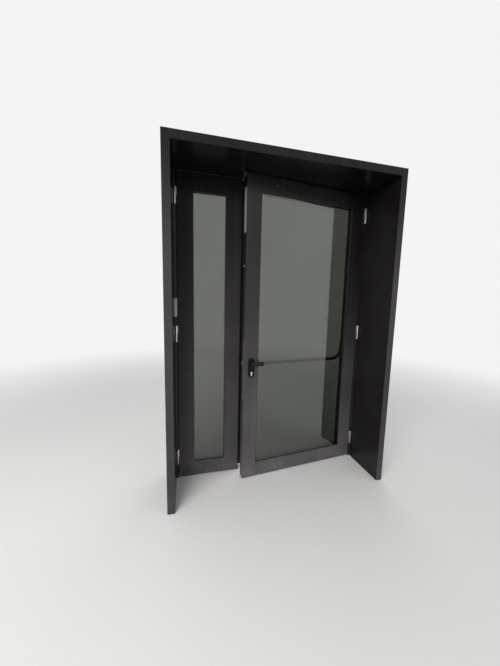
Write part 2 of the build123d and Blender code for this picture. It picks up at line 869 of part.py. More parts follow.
def push_bar_axle(x):
    """Pin through both cheeks and the arm's eye."""
    half = housing_width / 2 - axle_end_inset
    pivot = Vector(x - half, inner_face_y + bar_pivot_out, bar_pivot_z)
    return rod(pivot, right, axle_radius, 2 * half)


# Small things


def contact_box():
    """Small box on the left reveal, close in front of the passive leaf, with one corner cut off."""
    back_y = leaf_face_y - contact_box_set_forward
    low_z = hinge_heights[1] + contact_box_above_hinge - contact_box_height / 2
    box = block(
        (-lining_x, -lining_x + contact_box_thickness),
        (back_y - contact_box_depth, back_y),
        (low_z, low_z + contact_box_height),
    )
    lower_corner = box.edges().filter_by(Axis.Y).group_by(Axis.X)[-1].sort_by(Axis.Z)[0]
    return chamfer(lower_corner, length=contact_box_chamfer, length2=contact_box_chamfer / 2)


def edge_bumper():
    """Pale button in the lock edge."""
    start = Vector(lock_edge_x + groove_depth, mid_y, leaf_high_z - bumper_below_top)
    return rod(start, -right, bumper_radius, groove_depth + bumper_proud)


def rail_plug():
    """Cap over a fixing hole in the active leaf's top rail."""
    start = Vector(lock_edge_x + plug_from_lock_edge, leaf_face_y, leaf_high_z - plug_below_top)
    return rod(start, outward, plug_cap_radius, plug_cap_proud)


# The whole door


def portal_and_frame_nodes():
    """Everything that is fixed to the wall."""
    jamb_left, jamb_right, head = portal()
    frame_left, frame_right, frame_head = fixed_frame()
    left_frame_halves, left_pins, _ = hinges(-1)
    right_frame_halves, right_pins, _ = hinges(1)
    return {
        "portal_jamb_left": jamb_left,
        "portal_jamb_right": jamb_right,
        "portal_head": head,
        "frame_jamb_left": frame_left,
        "frame_jamb_right": frame_right,
        "frame_head": frame_head,
        "frame_seal": frame_seal(),
        "hinge_frame_halves_left": left_frame_halves,
        "hinge_frame_halves_right": right_frame_halves,
        "hinge_pins_left": left_pins,
        "hinge_pins_right": right_pins,
        "slide_bolt_keep": bolt_keep(),
        "contact_box": contact_box(),
    }


def passive_leaf_nodes():
    """The narrow leaf with its slide bolts and strike plate."""
    x_range = (-leaf_edge_x, strike_edge_x)
    hinge_stile, meeting_stile, bottom_rail, top_rail = four_sides(leaf_section(), x_range)
    panes, spacer, gaskets, beads, blocks = glazing(x_range)
    top_bolt, top_plate, top_slot = slide_bolt(leaf_high_z, 1, rod_travel_top)
    bottom_bolt, bottom_plate, bottom_slot = slide_bolt(leaf_low_z, -1, rod_travel_bottom)
    through = edge_wall + 2
    latch_mouth = bolt_slot(strike_edge_x, -1, latch_z, latch_height, strike_clearance, through)
    bolt_mouth = bolt_slot(strike_edge_x, -1, deadbolt_z, deadbolt_height, strike_clearance, through)
    meeting_stile = meeting_stile - top_slot - bottom_slot - latch_mouth - bolt_mouth
    bore = rod_radius + rod_clearance
    top_rail = top_rail - rod(Vector(rod_x, mid_y, leaf_high_z - edge_wall - 1), up, bore, through)
    bottom_rail = bottom_rail - rod(Vector(rod_x, mid_y, leaf_low_z - 1), up, bore, through)
    _, _, leaf_halves = hinges(-1)
    brush = bottom_brush(x_range[0] + brush_end_inset, x_range[1] - brush_bolt_inset)
    return {
        "passive_hinge_stile": hinge_stile,
        "passive_meeting_stile": meeting_stile,
        "passive_top_rail": top_rail,
        "passive_bottom_rail": bottom_rail,
        "passive_glass_panes": panes,
        "passive_glass_spacer": spacer,
        "passive_glazing_gaskets": gaskets,
        "passive_glazing_beads": beads,
        "passive_setting_blocks": blocks,
        "passive_bottom_brush": brush,
        "passive_meeting_seal": passive_meeting_seal(),
        "passive_hinge_halves": leaf_halves,
        "strike_plate": strike_plate(),
        "top_bolt_plate": top_plate,
        "bottom_bolt_plate": bottom_plate,
        "top_slide_bolt": top_bolt,
        "bottom_slide_bolt": bottom_bolt,
    }


def active_leaf_nodes():
    """The wide leaf with its lock, handle and push bar, as it stands when closed."""
    x_range = (lock_edge_x, leaf_edge_x)
    lock_stile, hinge_stile, bottom_rail, top_rail = four_sides(leaf_section(), x_range)
    panes, spacer, gaskets, beads, blocks = glazing(x_range)
    through = edge_wall + 2
    cylinder_hole = cylinder_outline(cylinder_clearance)
    lock_stile = lock_stile - bolt_slot(lock_edge_x, 1, latch_z, latch_height, bolt_clearance, through)
    lock_stile = lock_stile - bolt_slot(lock_edge_x, 1, deadbolt_z, deadbolt_height, bolt_clearance, through)
    lock_stile = lock_stile - through_leaf(Circle(spindle_hole_radius), spindle_z, -1, leaf_depth + 1)
    lock_stile = lock_stile - through_leaf(cylinder_hole, cylinder_z, -1, leaf_depth + 1)
    for screw in backplate_screws():
        lock_stile = lock_stile - screw
    plate = backplate()
    for screw in backplate_screws():
        plate = plate - screw
    hinge_side_x = leaf_edge_x - backset
    lock_housing = push_bar_housing(lock_x) - through_leaf(
        Circle(spindle_size), spindle_z, leaf_depth - 1, leaf_depth + housing_base + 1
    )
    _, _, leaf_halves = hinges(1)
    brush = bottom_brush(x_range[0] + brush_end_inset, x_range[1] - brush_end_inset)
    upper_plate = lock_edge_plate(upper_plate_high_z - upper_plate_length, upper_plate_high_z)
    return {
        "active_lock_stile": lock_stile,
        "active_hinge_stile": hinge_stile,
        "active_top_rail": top_rail,
        "active_bottom_rail": bottom_rail,
        "active_glass_panes": panes,
        "active_glass_spacer": spacer,
        "active_glazing_gaskets": gaskets,
        "active_glazing_beads": beads,
        "active_setting_blocks": blocks,
        "active_bottom_brush": brush,
        "active_hinge_halves": leaf_halves,
        "lock_case": lock_case(),
        "lock_faceplate": lock_faceplate(),
        "upper_faceplate": upper_plate,
        "latch_bolt": latch_bolt(),
        "dead_bolt": dead_bolt(),
        "lock_cylinder": lock_cylinder(),
        "cylinder_plug": cylinder_plug(),
        "handle_backplate": plate,
        "backplate_screws": backplate_screws(),
        "outside_lever": outside_lever(),
        "lever_spindle": lever_spindle(),
        "lock_follower": lock_follower(),
        "push_bar_lock_housing": lock_housing,
        "push_bar_hinge_housing": push_bar_housing(hinge_side_x),
        "push_bar_axles": [push_bar_axle(lock_x), push_bar_axle(hinge_side_x)],
        "push_bar_tube": push_bar(),
        "push_bar_eyes": arm_eyes(),
        "edge_bumper": edge_bumper(),
        "rail_plug": rail_plug(),
    }


def solids_of(shapes):
    """Every solid of a shape or of a list of shapes."""
    listed = shapes if isinstance(shapes, (list, tuple)) else [shapes]
    return [solid for shape in listed for solid in shape.solids()]


hinge_axis = Axis((hinge_x, hinge_y, 0), (0, 0, 1))
nodes = {name: solids_of(shapes) for name, shapes in portal_and_frame_nodes().items()}
nodes.update({name: solids_of(shapes) for name, shapes in passive_leaf_nodes().items()})
for name, shapes in active_leaf_nodes().items():
    nodes[name] = [solid.rotate(hinge_axis, ajar) for solid in solids_of(shapes)]

for name, solids in nodes.items():
    export_step(Compound(children=solids), f"parts/{name}.step")
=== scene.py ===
import math
import random

import bmesh
import bpy
from mathutils import Matrix, Vector


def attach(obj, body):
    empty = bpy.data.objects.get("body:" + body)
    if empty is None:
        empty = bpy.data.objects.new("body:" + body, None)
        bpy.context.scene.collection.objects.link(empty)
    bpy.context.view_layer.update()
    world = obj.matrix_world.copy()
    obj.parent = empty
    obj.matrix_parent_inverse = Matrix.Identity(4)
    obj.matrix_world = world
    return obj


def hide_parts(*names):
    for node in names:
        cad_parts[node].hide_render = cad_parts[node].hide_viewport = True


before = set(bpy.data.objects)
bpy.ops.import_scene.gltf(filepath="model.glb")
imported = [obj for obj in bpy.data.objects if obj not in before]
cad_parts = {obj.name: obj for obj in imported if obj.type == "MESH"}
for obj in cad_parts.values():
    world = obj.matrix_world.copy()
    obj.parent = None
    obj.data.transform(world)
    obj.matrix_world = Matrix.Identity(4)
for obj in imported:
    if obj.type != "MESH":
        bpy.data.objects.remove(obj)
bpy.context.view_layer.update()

# Sizes of the door in metres, in the frame's axes

AJAR = math.radians(6.76)
HINGE_AXIS = Vector((0.758, 0.095, 0.0))
PORTAL_HALF = 0.818
PORTAL_TOP = 2.330
JAMB_FACE = 0.0495
HEAD_FACE = 0.0525
FRAME_HALF = 0.8075
FRAME_TOP = 2.328
LEAF_FACE = 0.104
LEAF_BACK = 0.172
LEAF_LOW = 0.010
LEAF_HIGH = 2.268
LEAF_EDGE = 0.7473
STRIKE_EDGE = -0.2863
LOCK_EDGE = -0.2796
LOCK_X = -0.2226
MID_DEPTH = 0.138
FRAME_REBATE = 0.7525
HEAD_REBATE = 2.273
HINGE_HEIGHTS = (0.180, 1.145, 2.110)
HALF_HINGE = 0.059
KNUCKLE = 0.007
SPINDLE_Z = 0.933
PLATE_FRONT = 0.012
BAR_RADIUS = 0.015
BAR_BEND = 0.075
BAR_LOW = Vector((-0.2226, 0.247, 0.890))
BAR_PIVOT = Vector((-0.2226, 0.202, 1.020))
BAR_SPAN = 0.9129
ROD_X = -0.3043

# Directions

STREET = (0, -1, 0)
ROOM = (0, 1, 0)
LEFT = (-1, 0, 0)
RIGHT = (1, 0, 0)
DOWN = (0, 0, -1)


# Shader building


class Signal:
    """A shader socket that arithmetic can be written on."""

    def __init__(self, finish, socket):
        self.finish = finish
        self.socket = socket

    def maths(self, operation, first, second=None):
        inputs = {0: first} if second is None else {0: first, 1: second}
        return self.finish.node("ShaderNodeMath", {"operation": operation}, inputs)

    def __add__(self, other):
        return self.maths("ADD", self, other)

    def __radd__(self, other):
        return self.maths("ADD", other, self)

    def __sub__(self, other):
        return self.maths("SUBTRACT", self, other)

    def __rsub__(self, other):
        return self.maths("SUBTRACT", other, self)

    def __mul__(self, other):
        return self.maths("MULTIPLY", self, other)

    def __rmul__(self, other):
        return self.maths("MULTIPLY", other, self)

    def __abs__(self):
        return self.maths("ABSOLUTE", self)

    def low(self, other):
        return self.maths("MINIMUM", self, other)

    def high(self, other):
        return self.maths("MAXIMUM", self, other)

    def between(self, start, end):
        """0 below start and 1 above end, smooth between them."""
        settings = {"interpolation_type": "SMOOTHSTEP"}
        inputs = {"Value": self, "From Min": start, "From Max": end}
        return self.finish.node("ShaderNodeMapRange", settings, inputs)


class NodeTree:
    """A node tree under construction."""

    def __init__(self, owner):
        owner.use_nodes = True
        self.tree = owner.node_tree
        self.tree.nodes.clear()

    def node(self, kind, settings=None, inputs=None, output=0):
        """Adds a node. Its settings come first, then the values or links of its sockets."""
        made = self.tree.nodes.new(kind)
        for name, value in (settings or {}).items():
            setattr(made, name, value)
        for name, value in (inputs or {}).items():
            socket = made.inputs[name]
            if isinstance(value, Signal):
                self.tree.links.new(value.socket, socket)
            elif socket.type == "RGBA":
                socket.default_value = (*value, 1)
            else:
                socket.default_value = value
        if isinstance(output, tuple):
            return [Signal(self, made.outputs[name]) for name in output]
        return Signal(self, made.outputs[output]) if made.outputs else made

    def shown_ray(self):
        """1 for the rays that the camera, metal and glass send out."""
        kinds = ("Is Camera Ray", "Is Glossy Ray", "Is Transmission Ray")
        camera, glossy, through = self.node("ShaderNodeLightPath", output=kinds)
        return camera.high(glossy).high(through)


class Finish(NodeTree):
    """A material under construction. turned is for what hangs on the wide leaf: its patterns then run
    along the leaf, which stands ajar."""

    def __init__(self, name, turned=False):
        self.material = bpy.data.materials.new(name)
        super().__init__(self.material)
        self.place = self.node("ShaderNodeTexCoord", output="Object")
        if turned:
            back = Matrix.Rotation(-AJAR, 3, "Z")
            shift = HINGE_AXIS - back @ HINGE_AXIS
            self.place = self.moved(location=shift, rotation=(0, 0, -AJAR))
        self.x, self.y, self.z = self.parts(self.place)

    def parts(self, vector):
        """The x, y and z of a vector."""
        return self.node("ShaderNodeSeparateXYZ", None, {0: vector}, (0, 1, 2))

    def moved(self, location=(0, 0, 0), rotation=(0, 0, 0), scale=(1, 1, 1)):
        """The place on the piece, scaled, turned and shifted."""
        inputs = {"Vector": self.place, "Location": location, "Rotation": rotation, "Scale": scale}
        return self.node("ShaderNodeMapping", None, inputs)

    def noise(self, scale, detail=3.0, stretch=(1, 1, 1), roughness=0.55, distortion=0.0):
        """Noise from 0 to 1 with features of about 1/scale metres."""
        where = self.place if stretch == (1, 1, 1) else self.moved(scale=stretch)
        inputs = {
            "Vector": where,
            "Scale": scale,
            "Detail": detail,
            "Roughness": roughness,
            "Distortion": distortion,
        }
        return self.node("ShaderNodeTexNoise", None, inputs)

    def cells(self, scale):
        """Distance to the nearest of scattered points, as a share of their spacing of 1/scale metres."""
        return self.node("ShaderNodeTexVoronoi", None, {"Vector": self.place, "Scale": scale})

    def blend(self, share, first, second):
        """Colour between two colours."""
        return self.node("ShaderNodeMix", {"data_type": "RGBA"}, {0: share, 6: first, 7: second}, 2)

    def facing(self):
        """How far the surface faces to the right, to the room and up."""
        return self.parts(self.node("ShaderNodeNewGeometry", output="Normal"))

    def bump(self, height, distance):
        """Fine relief, where a height of 1 stands out by the distance."""
        return self.node("ShaderNodeBump", None, {"Height": height, "Distance": distance})

    def surface(self, **sockets):
        """Ends the material in a Principled shader."""
        inputs = {name.replace("_", " "): value for name, value in sockets.items()}
        shader = self.node("ShaderNodeBsdfPrincipled", None, inputs)
        self.node("ShaderNodeOutputMaterial", None, {"Surface": shader})
        return self.material


# Finishes

BRONZE = (0.0058, 0.0050, 0.0050)
BRONZE_WORN = (0.0100, 0.0090, 0.0089)
# Pale grey of dust; the coats also blend towards it as painted light low down.
PALE_TONE = (0.195, 0.183, 0.185)
CREVICE = (0.004, 0.004, 0.004)
HAIRLINE = 0.00025
HAIRLINE_FADE = 0.0006
SPLASH_HEIGHT = 0.30


def mitre_line(finish, low_x, high_x, low_z, high_z, slope):
    """1 in a hairline along the mitres of a frame with these edges, which rise by the slope."""
    from_side = (finish.x - low_x).low(high_x - finish.x)
    from_end = high_z - finish.z
    if low_z is not None:
        from_end = from_end.low(finish.z - low_z)
    away = abs(from_side * slope - from_end)
    return 1 - away.between(HAIRLINE, HAIRLINE_FADE)


def powder_coat(
    name, outline, dirt_and_light_strength, sheen, slope=1.0, turned=False, rough=0.26, fade_heights=(-0.2, 1.9), street_dirt_and_side_shade=0.0
):
    """Bronze powder coat: orange peel, faint rain marks, a pale layer that fades out between two given
    heights, dusty ledges, and mitre lines along the outline. The pale layer is partly dirt and partly
    painted light: it lightens the coat towards the floor and leaves the top dark as painted shade. sheen
    is how strongly the coat mirrors, slope the rise of the mitres, and a last share how much of the layer
    only the street side has, which keeps sideways faces darker as painted shade."""
    coat = Finish(name, turned)
    clouds = coat.noise(3.0, detail=5)
    grain = coat.noise(2600.0, detail=1)
    peel = coat.noise(420.0, detail=2)
    # Pale layer towards the floor, partly dirt and partly painted light: lighter low down, dark at the
    # top as painted shade.
    low_dirt_and_light = (1 - coat.z.between(*fade_heights)) * (0.10 + clouds * 0.14)
    rain = coat.noise(22.0, detail=4, stretch=(1, 1, 0.03), roughness=0.6).between(0.50, 0.85)
    spots = coat.cells(95.0).between(0.10, 0.02) * coat.noise(9.0).between(0.50, 0.75)
    mud = coat.noise(14.0, detail=6, roughness=0.7).between(0.35, 0.75)
    splash = (1 - coat.z.between(0.0, SPLASH_HEIGHT)) * mud
    dirt_and_light = low_dirt_and_light + rain * 0.035 + spots * 0.05 + splash * 0.12
    _, inward, upward = coat.facing()
    # Sideways faces lose most of the pale layer and stay darker: painted shade on the reveals, with the
    # dirt kept to the street side.
    if street_dirt_and_side_shade:
        dirt_and_light = dirt_and_light * (1 - inward.between(-0.9, -0.3) * street_dirt_and_side_shade)
    ledge = upward.between(0.6, 0.95) * coat.noise(60.0, detail=5).between(0.25, 0.7)
    # This mask holds the pale layer too, so it carries painted light besides the dust on ledges.
    dust = (dirt_and_light * dirt_and_light_strength).high(ledge * 0.30)
    line = mitre_line(coat, *outline, slope)
    tone = coat.blend(clouds.between(0.3, 0.7) * 0.6 + grain * 0.3, BRONZE, BRONZE_WORN)
    tone = coat.blend(dust, tone, PALE_TONE)
    tone = coat.blend(line * 0.85, tone, CREVICE)
    rough_map = rough + clouds * 0.05 + dust * 0.7
    relief = coat.bump(peel * 0.6 + grain * 0.10 - line * 4.0, distance=0.00003)
    return coat.surface(Base_Color=tone, Roughness=rough_map, Specular_IOR_Level=sheen, Normal=relief)


def rubber(name, turned=False):
    """Black gasket rubber with a dry bloom, a fine grain and dust near the floor."""
    seal = Finish(name, turned)
    bloom = seal.noise(30.0, detail=5).between(0.45, 0.8)
    dust = seal.noise(12.0, detail=4).between(0.5, 0.8) * (1 - seal.z.between(0.1, 0.9))
    tone = seal.blend(bloom * 0.5, (0.012, 0.012, 0.012), (0.045, 0.043, 0.040))
    tone = seal.blend(dust * 0.35, tone, PALE_TONE)
    relief = seal.bump(seal.noise(900.0, detail=2), distance=0.0001)
    return seal.surface(Base_Color=tone, Roughness=0.62 + bloom * 0.2, Normal=relief)


def brushed_metal(name, colour, along, rough, turned=False, marks=0.5, bare=1.0):
    """Metal with a fine grain along one axis, marks from handling and pits. bare is 1 for bare metal and
    less under a coating."""
    dark = (0.10, 0.095, 0.09)
    metal = Finish(name, turned)
    stretch = {"x": (0.02, 1, 1), "z": (1, 1, 0.02)}[along]
    lines = metal.noise(2400.0, detail=2, stretch=stretch)
    stains = metal.noise(38.0, detail=6, distortion=0.6).between(0.45, 0.75)
    pits = metal.noise(210.0, detail=3).between(0.62, 0.72)
    tone = metal.blend(stains * marks, colour, dark)
    tone = metal.blend(pits * marks * 0.5, tone, dark)
    rough_map = rough + lines * 0.16 + stains * 0.22 * marks - 0.06
    relief = metal.bump(lines, distance=0.00004)
    return metal.surface(Base_Color=tone, Metallic=bare, Roughness=rough_map, Normal=relief)


def moulded_plastic(name, colour, rough, turned=False, scale=900.0, depth=0.00008, sheen=0.5):
    """Moulded plastic or thick paint with a fine even grain and rubbed places."""
    skin = Finish(name, turned)
    grain = skin.noise(scale, detail=2)
    rubbed = skin.noise(24.0, detail=5).between(0.45, 0.75)
    upward = skin.facing()[2]
    dust = upward.between(0.5, 0.95) * skin.noise(70.0, detail=4).between(0.3, 0.7)
    lighter = tuple(min(1.0, part * 1.25 + 0.006) for part in colour)
    tone = skin.blend(rubbed * 0.5 + grain * 0.2, colour, lighter)
    tone = skin.blend(dust * 0.3, tone, PALE_TONE)
    rough_map = rough + rubbed * 0.1 + dust * 0.3
    relief = skin.bump(grain, distance=depth)
    return skin.surface(Base_Color=tone, Roughness=rough_map, Specular_IOR_Level=sheen, Normal=relief)


def glass(name, turned=False):
    """Sealed unit glass: a grey-green pane with a sun coating that mirrors, and faint wipe marks."""
    pane = Finish(name, turned)
    wipes = pane.noise(2.2, detail=2, stretch=(1, 1, 0.5), distortion=0.8).between(0.35, 0.75)
    tone = pane.blend(wipes * 0.5, (0.262, 0.276, 0.245), (0.300, 0.314, 0.282))
    return pane.surface(Base_Color=tone, Roughness=0.0, IOR=1.85, Transmission_Weight=1.0)


def pile(name, turned=False):
    """Dark brush pile."""
    brush = Finish(name, turned)
    hairs = brush.noise(1500.0, detail=2, stretch=(1, 1, 0.06))
    dust = brush.noise(40.0, detail=4).between(0.4, 0.75)
    tone = brush.blend(hairs, (0.008, 0.008, 0.008), (0.05, 0.047, 0.043))
    tone = brush.blend(dust * 0.5, tone, PALE_TONE)
    return brush.surface(Base_Color=tone, Roughness=0.92, Normal=brush.bump(hairs, distance=0.0006))


# Left, right, lower and upper edges, where the portal and the frame have no lower one
PORTAL_OUTLINE = (-PORTAL_HALF, PORTAL_HALF, None, PORTAL_TOP)
FRAME_OUTLINE = (-FRAME_HALF, FRAME_HALF, None, FRAME_TOP)
PASSIVE_OUTLINE = (-LEAF_EDGE, STRIKE_EDGE, LEAF_LOW, LEAF_HIGH)
ACTIVE_OUTLINE = (LOCK_EDGE, LEAF_EDGE, LEAF_LOW, LEAF_HIGH)

SPACER_GREY = (0.42, 0.42, 0.41)
SILVER = (0.70, 0.69, 0.67)
HANDLE_BLACK = (0.0030, 0.0033, 0.0031)
BAR_BLACK = (0.012, 0.012, 0.012)
HOUSING_BLACK = (0.016, 0.016, 0.016)

# One bronze coat in four copies, whose pale layers, fade heights and sheens differ as painted light and
# shade: the portal lighter low down and dark at the head and reveals, the wide leaf lighter near the
# floor, the narrow leaf a darker, shaded copy of the wide one.
portal_coat = powder_coat(
    "portal_coat", PORTAL_OUTLINE, slope=HEAD_FACE / JAMB_FACE,
    rough=0.20, dirt_and_light_strength=1.15, sheen=0.18, fade_heights=(1.5, 2.35), street_dirt_and_side_shade=0.8,
)
frame_coat = powder_coat("frame_coat", FRAME_OUTLINE, dirt_and_light_strength=0.6, sheen=0.36)
passive_coat = powder_coat("passive_leaf_coat", PASSIVE_OUTLINE, dirt_and_light_strength=2.2, sheen=0.10, fade_heights=(-0.2, 2.2))
active_coat = powder_coat("active_leaf_coat", ACTIVE_OUTLINE, turned=True, dirt_and_light_strength=2.5, sheen=0.36)
passive_glass = glass("passive_glass")
active_glass = glass("active_glass", turned=True)
fixed_rubber = rubber("frame_seal_rubber")
leaf_rubber = rubber("leaf_rubber", turned=True)
passive_pile = pile("passive_brush_pile")
active_pile = pile("active_brush_pile", turned=True)

spacer_metal = brushed_metal("spacer_aluminium", SPACER_GREY, "z", rough=0.42)
spacer_metal_turned = brushed_metal("active_spacer_aluminium", SPACER_GREY, "z", turned=True, rough=0.42)
hinge_metal = brushed_metal("hinge_anodised", SILVER, "z", rough=0.34, marks=0.25)
hinge_metal_turned = brushed_metal(
    "active_hinge_anodised", SILVER, "z", turned=True, rough=0.34, marks=0.25
)
pin_metal = brushed_metal("hinge_pin_steel", (0.62, 0.61, 0.60), "z", rough=0.22, marks=0.2)
plate_metal = brushed_metal("strike_and_bolt_plates", (0.55, 0.54, 0.53), "z", rough=0.30, marks=0.6)
faceplate_metal = brushed_metal(
    "lock_faceplate", (0.58, 0.56, 0.54), "z", turned=True, rough=0.36, marks=0.85
)
upper_plate_metal = brushed_metal(
    "upper_faceplate", (0.33, 0.32, 0.32), "z", turned=True, rough=0.55, marks=0.2, bare=0.4
)
bolt_metal = brushed_metal("slide_bolt_steel", (0.56, 0.55, 0.54), "z", rough=0.26, marks=0.4)
lock_metal = brushed_metal("lock_steel", (0.50, 0.49, 0.48), "x", turned=True, rough=0.34, marks=0.5)
# Latch and deadbolt: the lock's steel darkened to a dark grey, as painted shade of the gap between the
# leaves.
throw_metal = brushed_metal(
    "latch_and_deadbolt", (0.15, 0.147, 0.144), "x", turned=True, rough=0.40, marks=0.6
)
cylinder_metal = brushed_metal(
    "cylinder_nickel", (0.74, 0.71, 0.66), "x", turned=True, rough=0.20, marks=0.2
)

handle_polish = {"turned": True, "rough": 0.14, "scale": 500.0, "depth": 0.00002}
plate_black = moulded_plastic("handle_plate_black", HANDLE_BLACK, sheen=0.10, **handle_polish)
lever_black = moulded_plastic("lever_black", HANDLE_BLACK, sheen=0.32, **handle_polish)
screw_black = moulded_plastic("screw_black", (0.014, 0.014, 0.014), turned=True, rough=0.3)
bar_black = moulded_plastic("push_bar_black", BAR_BLACK, turned=True, rough=0.28, scale=600.0)
housing_black = moulded_plastic("housing_black", HOUSING_BLACK, turned=True, rough=0.42)
eye_black = moulded_plastic("bar_eye_black", HOUSING_BLACK, turned=True, rough=0.38)
box_grey = moulded_plastic("contact_box_grey", (0.42, 0.42, 0.415), rough=0.45)
block_plastic = moulded_plastic("setting_block_plastic", (0.05, 0.05, 0.055), rough=0.5)
bumper_rubber = moulded_plastic("bumper_rubber", (0.52, 0.50, 0.46), turned=True, rough=0.55)
plug_plastic = moulded_plastic("plug_plastic", (0.11, 0.108, 0.104), turned=True, rough=0.45)

CAD_FINISHES = {
    "portal_jamb_left": portal_coat,
    "portal_jamb_right": portal_coat,
    "portal_head": portal_coat,
    "frame_jamb_left": frame_coat,
    "frame_jamb_right": frame_coat,
    "frame_head": frame_coat,
    "frame_seal": fixed_rubber,
    "hinge_frame_halves_left": hinge_metal,
    "hinge_frame_halves_right": hinge_metal,
    "hinge_pins_left": pin_metal,
    "hinge_pins_right": pin_metal,
    "slide_bolt_keep": plate_metal,
    "contact_box": box_grey,
    "passive_hinge_stile": passive_coat,
    "passive_meeting_stile": passive_coat,
    "passive_top_rail": passive_coat,
    "passive_bottom_rail": passive_coat,
    "passive_glass_panes": passive_glass,
    "passive_glass_spacer": spacer_metal,
    "passive_glazing_gaskets": fixed_rubber,
    "passive_glazing_beads": passive_coat,
    "passive_setting_blocks": block_plastic,
    "passive_bottom_brush": passive_pile,
    "passive_meeting_seal": fixed_rubber,
    "passive_hinge_halves": hinge_metal,
    "strike_plate": plate_metal,
    "top_bolt_plate": plate_metal,
    "bottom_bolt_plate": plate_metal,
    "top_slide_bolt": bolt_metal,
    "bottom_slide_bolt": bolt_metal,
    "active_lock_stile": active_coat,
    "active_hinge_stile": active_coat,
    "active_top_rail": active_coat,
    "active_bottom_rail": active_coat,
    "active_glass_panes": active_glass,
    "active_glass_spacer": spacer_metal_turned,
    "active_glazing_gaskets": leaf_rubber,
    "active_glazing_beads": active_coat,
    "active_setting_blocks": block_plastic,
    "active_bottom_brush": active_pile,
    "active_hinge_halves": hinge_metal_turned,
    "lock_case": lock_metal,
    "lock_faceplate": faceplate_metal,
    "upper_faceplate": upper_plate_metal,
    "latch_bolt": throw_metal,
    "dead_bolt": throw_metal,
    "lock_cylinder": cylinder_metal,
    "cylinder_plug": cylinder_metal,
    "handle_backplate": plate_black,
    "backplate_screws": screw_black,
    "outside_lever": lever_black,
    "lever_spindle": lock_metal,
    "lock_follower": lock_metal,
    "push_bar_lock_housing": housing_black,
    "push_bar_hinge_housing": housing_black,
    "push_bar_axles": lock_metal,
    "push_bar_tube": bar_black,
    "push_bar_eyes": eye_black,
    "edge_bumper": bumper_rubber,
    "rail_plug": plug_plastic,
}

for node_name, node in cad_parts.items():
    slots = node.data.materials
    if len(slots) == 0:
        slots.append(CAD_FINISHES[node_name])
    for number in range(len(slots)):
        slots[number] = CAD_FINISHES[node_name]


# Modelling

SWUNG = Matrix.Translation(HINGE_AXIS) @ Matrix.Rotation(AJAR, 4, "Z") @ Matrix.Translation(-HINGE_AXIS)
ON_WIDE_LEAF = ("active_leaf", "lever", "push_bar")
SAME_POINT = 0.000002


def finished(name, bm, material, body, smooth=35):
    """Makes the mesh a piece of a body. What hangs on the wide leaf is swung ajar with it. Edges under
    the smooth angle, in degrees, don't show."""
    bmesh.ops.remove_doubles(bm, verts=bm.verts, dist=SAME_POINT)
    bmesh.ops.recalc_face_normals(bm, faces=bm.faces)
    if body in ON_WIDE_LEAF:
        bmesh.ops.transform(bm, matrix=SWUNG, verts=bm.verts)
    mesh = bpy.data.meshes.new(name)
    bm.to_mesh(mesh)
    bm.free()
    mesh.shade_smooth()
    mesh.set_sharp_from_angle(angle=math.radians(smooth))
    mesh.materials.append(material)
    piece = bpy.data.objects.new(name, mesh)
    bpy.context.scene.collection.objects.link(piece)
    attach(piece, body)
    return piece


def only(kind, geometry):
    """The items of one kind in what an operator returns."""
    return [item for item in geometry if isinstance(item, kind)]


def rounded(bm, edges, width, steps):
    """Rounds edges in a few steps."""
    options = {"offset_type": "OFFSET", "affect": "EDGES", "profile": 0.5, "material": -1}
    bmesh.ops.bevel(bm, geom=list(edges), offset=width, segments=steps, **options)


def block(bm, x_range, y_range, z_range, edge=0.0):
    """Box between two values along each axis, its edges chamfered where edge gives a width."""
    ranges = (x_range, y_range, z_range)
    centre = [(low + high) / 2 for low, high in ranges]
    size = [abs(high - low) for low, high in ranges]
    place = Matrix.Translation(centre) @ Matrix.Diagonal((*size, 1))
    verts = bmesh.ops.create_cube(bm, size=1.0, matrix=place)["verts"]
    if edge:
        rounded(bm, {line for vert in verts for line in vert.link_edges}, edge, steps=1)


def strip(bm, outline, along, edge=0.0, steps=1):
    """Extrudes a flat outline, with all edges rounded where edge gives a width."""
    base = bm.faces.new([bm.verts.new(point) for point in outline])
    made = bmesh.ops.extrude_face_region(bm, geom=[base], use_keep_orig=True)["geom"]
    far = only(bmesh.types.BMVert, made)
    bmesh.ops.translate(bm, vec=along, verts=far)
    if edge:
        ends = far + list(base.verts)
        rounded(bm, {line for vert in ends for line in vert.link_edges}, edge, steps)


def lathe(bm, profile, origin, axis, steps):
    """Turns a profile of (radius, distance along the axis) about an axis."""
    origin, axis = Vector(origin), Vector(axis).normalized()
    side = axis.orthogonal().normalized()
    points = [bm.verts.new(origin + side * radius + axis * along) for radius, along in profile]
    lines = [bm.edges.new(pair) for pair in zip(points, points[1:])]
    whole = {"angle": math.tau, "steps": steps, "use_merge": True}
    bmesh.ops.spin(bm, geom=points + lines, cent=origin, axis=axis, **whole)


def screw(bm, place, facing, radius, proud=0.0003):
    """Low screw head with a drive recess."""
    recess = proud - 0.0014
    sunk = -0.0018
    profile = (
        (0, recess), (0.40 * radius, recess), (0.46 * radius, proud), (0.84 * radius, proud),
        (radius, proud * 0.2), (radius, sunk), (0, sunk),
    )
    lathe(bm, profile, place, facing, steps=16)


def screws(name, places, facing, radius, material, body):
    """Several screws of one kind."""
    bm = bmesh.new()
    for place in places:
        screw(bm, place, facing, radius)
    return finished(name, bm, material, body)


# Hinges

WING_THICK = 0.002
WING_BACK = LEAF_FACE + 0.032
HINGE_PLAY = 0.0002
PIN_HOLE = 0.00405
HINGE_SCREW_Y = LEAF_FACE + 0.019
HINGE_SCREW_STEPS = (0.014, 0.045)


